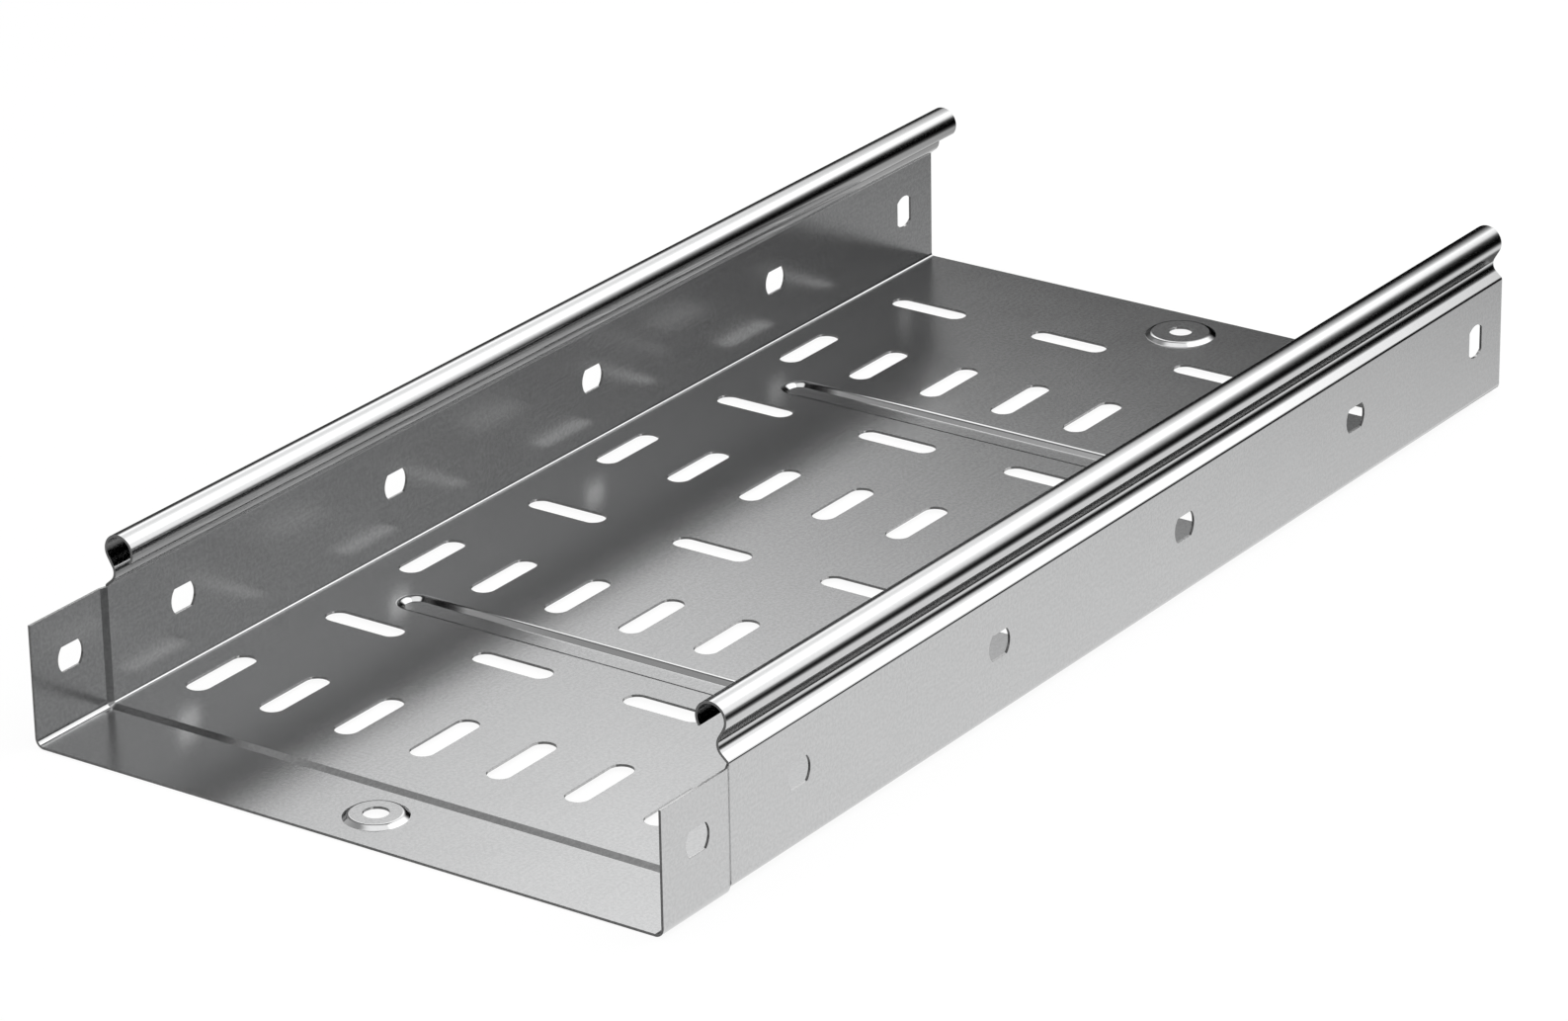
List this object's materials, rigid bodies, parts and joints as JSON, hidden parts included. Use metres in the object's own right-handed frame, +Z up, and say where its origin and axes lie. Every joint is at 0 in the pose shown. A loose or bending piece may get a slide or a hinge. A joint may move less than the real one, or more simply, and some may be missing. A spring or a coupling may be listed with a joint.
{
  "type": "perforated cable tray",
  "caption": "Straight perforated sheet-steel cable tray with rolled top edges, slotted floor, sunk ribs and a pressed-out socket end.",
  "frame": {"origin": "centre of the tray's outline, on the level surface that it rests on", "axes": "+X across the tray, +Y along it from the socket end to the plain end, +Z up out of the open top"},
  "size_m": [0.2018, 0.42, 0.051],
  "materials": {
    "steel": "bright galvanised sheet with a fine grain"
  },
  "bodies": {
    "root": {"cable_tray": "steel"}
  },
  "joints": []
}
